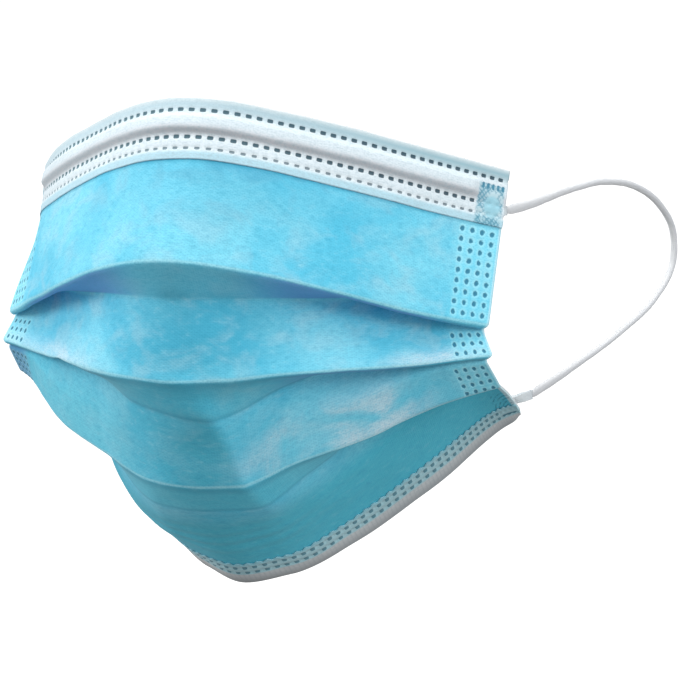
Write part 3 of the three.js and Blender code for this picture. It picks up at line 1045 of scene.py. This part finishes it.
def band_finish():
    """White cloth over blue: bright between the welds, with dark pressed dashes, a weld at each end, and
    painted shade under the wire's ridge and at the left end.
    """
    finish = Finish("white band", roughness=0.8, specular_IOR_level=0.3, sheen_weight=0.15, sheen_roughness=0.6)
    u, v = finish.cloth_place()
    from_edge = HALF_WIDTH - abs(u)
    streaks = fibres(finish, u, v)
    points = bond_points(u, v)
    weld = from_edge.fade(9.6, 8.6) * v.fade(5.0, 5.6) * from_edge.fade(0.4, 1.4)
    short_rows = dashes(u, v, BAND_ROWS[1]).above(dashes(u, v, BAND_ROWS[2], BAND_THIN_DASH) * 0.8)
    dark = dashes(u, v, BAND_ROWS[0]).above(short_rows * from_edge.fade(8.2, 8.8)) * from_edge.fade(0.6, 1.0)
    halo = v.hump(BAND_ROWS[0], 1.8).above(v.hump(BAND_ROWS[1], 1.6)).above(v.hump(BAND_ROWS[2], 1.3))
    patches = finish.noise(finish.vector(u, v, 8.0), 0.55, 4)
    jitter = patches * 2.2
    rising = ((from_edge * 0.8 + v + jitter) / BAND_HATCH_PITCH[0]).fract() - 0.5
    falling = ((from_edge - v * 0.9 + jitter) / BAND_HATCH_PITCH[1]).fract() - 0.5
    beside, below = [(a - b) / c for a, b, c in zip((from_edge, v), BAND_OVAL["middle"], BAND_OVAL["size"])]
    oval = (beside ** 2 + below ** 2).fade(1.3, 0.6)
    hatch = abs(rising * falling).fade(0.09, 0.02) * weld * (1 - oval) * patches.fade(0.32, 0.55)
    teeth = dashes(u * (BAND_PITCH / BAND_TEETH["pitch"]), v, BAND_TEETH["row"], BAND_TEETH["size"])
    teeth = teeth * from_edge.fade(9.0, 8.4) * from_edge.fade(0.6, 1.0)
    top_strip = finish.mix(u.fade(-20, 80), colour("B9D2DC"), colour("8DB4C0"))
    shade = finish.mix(v.fade(0.2, 2.2), colour("D3DFE3"), top_strip)
    shade = finish.painted(
        shade,
        (v.fade(3.0, 4.6), "DCE9F0"),
        # Painted shade under the wire's ridge, above the second row.
        (v.hump(8.9, 2.2) * 0.8, "C3C4C9"),
        (v.fade(13.4, 14.6) * 0.9, "B5DFEE"),
        (halo * 0.4, "EAF3F7"),
        # Painted shade on the band's left end.
        (u.fade(-50, -80) * 0.15, "C4C8CE"),
        (v.fade(0.0, -1.5), "E9EDEF"),
        (streaks.fade(0.4, 0.68) * 0.42, "9FB9C4"),
        (points * 0.14, "A9C0CA"),
    )
    welded = finish.mix(patches.fade(0.35, 0.65), colour("A9D3DE"), colour("5FA8BE"))
    shade = finish.mix(weld * 0.6, shade, welded)
    shade = finish.painted(
        shade,
        (oval * weld * 0.75, "93CCDC"),
        (hatch * 0.6, "2F87A3"),
        (teeth * 0.85, "2B7E9C"),
    )
    pressed = finish.mix(u.fade(-60, 60), colour("42707C"), colour("153F50"))
    shade = finish.mix(dark * 0.92, shade, pressed)
    relief = streaks * 0.7 - points * 0.3 - dark * 1.5 - hatch * 0.8 - teeth
    finish.surface(base_color=shade, normal=finish.bump(relief, 0.5, 0.12))
    return finish


def hem_finish():
    """White cloth over blue: a strip at the edge painted grey as shade, then two rows of pressed dashes with
    pale teeth.
    """
    finish = Finish("white hem", roughness=0.8, specular_IOR_level=0.3, sheen_weight=0.15, sheen_roughness=0.6)
    u, w = finish.cloth_place()
    from_edge = HALF_WIDTH - abs(u)
    streaks = fibres(finish, u, w)
    points = bond_points(u, w)
    rows = [dashes(u + HEM_PITCH / 2, w, row, HEM_DASH, HEM_PITCH) for row in HEM_ROWS]
    dark = rows[0].above(rows[1]) * from_edge.fade(8.4, 9.0)
    slot = w.hump(5.9, 1.0).fade(0.1, 0.6) * from_edge.fade(7.8, 7.2) * from_edge.fade(1.0, 1.6)
    # Painted shade: the strip at the edge, which faces down, is grey, greyer on the left.
    lower = finish.mix(u.fade(-30, 50), colour("8B8B8B"), colour("989EA2"))
    ribs = (u * (TAU * 2 / HEM_PITCH)).cosine().fade(0.2, 0.9)
    shade = finish.mix(w.fade(0.0, 4.4), lower, colour("C8CED1"))
    shade = finish.painted(
        shade,
        (ribs * 0.2, "8D989D"),
        (w.fade(0.0, -1.2), "E6EAEC"),
        (w.fade(4.2, 4.8), "A4D0DA"),
        (w.fade(HEM_FRONT - 1.4, HEM_FRONT) * 0.7, "7CC4D6"),
        (streaks.fade(0.4, 0.68) * 0.4, "97A7AE"),
        (dark * 0.8, "2F7388"),
        (slot * 0.95, "0F6D87"),
    )
    relief = streaks * 0.7 - points * 0.3 - dark * 1.5 - slot * 1.5
    finish.surface(base_color=shade, normal=finish.bump(relief, 0.5, 0.12))
    return finish


def elastic_finish(name, shade_code, deep_code):
    """Knitted white elastic: fine stitches along the cord, with painted shade along its two sides."""
    finish = Finish(name, roughness=0.75, specular_IOR_level=0.3, sheen_weight=0.2, sheen_roughness=0.5)
    u, v = finish.cloth_place()
    stitches = (v * (TAU / 0.55) + (u * (TAU / 0.75)).cosine() * 1.4).cosine()
    worn_spots = finish.noise(finish.vector(u, v), 0.5, 3)
    # Painted shade along the cord's two sides.
    sides = abs((u / (CORD_DIAMETER * TAU / 4)).fract() - 0.5).fade(0.36, 0.1)
    shade = finish.mix(stitches.fade(-0.2, -0.9) * 0.35, colour(shade_code), colour(deep_code))
    shade = finish.painted(
        shade,
        (sides * 0.45, "B3B8BF"),
        (worn_spots.fade(0.4, 0.7) * 0.25, deep_code),
    )
    finish.surface(base_color=shade, normal=finish.bump(stitches, 0.4, 0.08))
    return finish


def wire_finish():
    """Plastic coat of the nose wire, with faint drawing lines."""
    finish = Finish("wire coat", roughness=0.5)
    place = finish.node("ShaderNodeTexCoord", output=3)
    lines = finish.noise(place, 900, 2)
    shade = finish.mix(lines.fade(0.4, 0.7) * 0.3, colour("F0F0EC"), colour("D5D6D2"))
    finish.surface(base_color=shade, normal=finish.bump(lines, 0.2, 0.05))
    return finish


# Floor and light
def make_floor():
    """A pale floor, glowing to be as bright as the backdrop, that lights nothing from below."""
    mesh_data = bmesh.new()
    bmesh.ops.create_circle(mesh_data, cap_ends=True, segments=64, radius=FLOOR_RADIUS)
    bmesh.ops.translate(mesh_data, verts=mesh_data.verts, vec=(0, 0, FLOOR_HEIGHT))
    floor = finish_mesh("floor", mesh_data)
    finish = Finish("pale floor", roughness=0.9, emission_strength=FLOOR_GLOW)
    speckle = finish.noise(finish.node("ShaderNodeTexCoord", output=3), 3, 2)
    pale = finish.mix(speckle * 0.2, colour("FBFBFB"), colour("F6F6F6"))
    finish.surface(base_color=pale, emission_color=pale)
    floor.data.materials.append(finish.material)
    floor.visible_diffuse = False
    floor.visible_glossy = False


def make_lamp(name, place, power):
    data = bpy.data.lights.new(name, "AREA")
    data.size = LAMP_SIZE
    data.energy = power
    light = bpy.data.objects.new(name, data)
    aim = Vector(LAMP_AIM) - Vector(place)
    light.matrix_world = Matrix.Translation(place) @ aim.to_track_quat("-Z", "Y").to_matrix().to_4x4()
    bpy.context.collection.objects.link(light)


def make_world():
    """Soft light from all round, stronger from above, before a white backdrop."""
    world = bpy.data.worlds.new("soft light")
    world.use_nodes = True
    nodes = Nodes(world.node_tree)
    background = world.node_tree.nodes["Background"]
    background.inputs["Color"].default_value = (1, 1, 1, 1)
    direction = nodes.node("ShaderNodeTexCoord")
    height = nodes.node("ShaderNodeSeparateXYZ", None, {0: direction}, output=2)
    light = height.fade(-0.8, 0.8) * (LIGHT_ABOVE - LIGHT_BELOW) + LIGHT_BELOW
    seen = nodes.node("ShaderNodeLightPath")
    nodes.feed(background.inputs["Strength"], light + (BACKDROP - light) * seen)
    bpy.context.scene.world = world


make_camera()
elastic = elastic_finish("knitted elastic", "EEF0F2", "C4C9CF")
for hand, side in (("right", 1), ("left", -1)):
    ear_loop(f"elastic_cord_{hand}", f"ear_loop_{hand}", side, elastic)

weld = elastic_finish("pressed elastic", "E6EEF2", "B4C6CE")
outer = outer_cloth(blue_finish())
inner = lining(white_finish("white lining", "F0F3F5", "D9E1E6"))
band = edge_band(band_finish())
lower_hem = hem(hem_finish())
for hand, side in (("right", 1), ("left", -1)):
    path = route(side)
    top_end = loop_end(f"pressed_end_top_{hand}", side, True, TOP_WELD_BELOW_EDGE, path[0])
    chin_end = loop_end(f"pressed_end_chin_{hand}", side, False, CHIN_WELD_ABOVE_EDGE, path[-1])
    dress(top_end, weld, "elastic", f"loop_end_top_{hand}")
    dress(chin_end, weld, "elastic", f"loop_end_chin_{hand}")

flat_cloth = (FLAT_WIDTH * MM, CLOTH_HEIGHT * MM)

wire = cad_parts["nose_wire"]
wire.data.materials.clear()
wire.data.materials.append(wire_finish().material)

make_floor()
make_lamp("top lamp", *TOP_LAMP)
make_lamp("left lamp", *LEFT_LAMP)
make_lamp("right lamp", *RIGHT_LAMP)
make_world()
bpy.context.scene.view_settings.view_transform = "Standard"
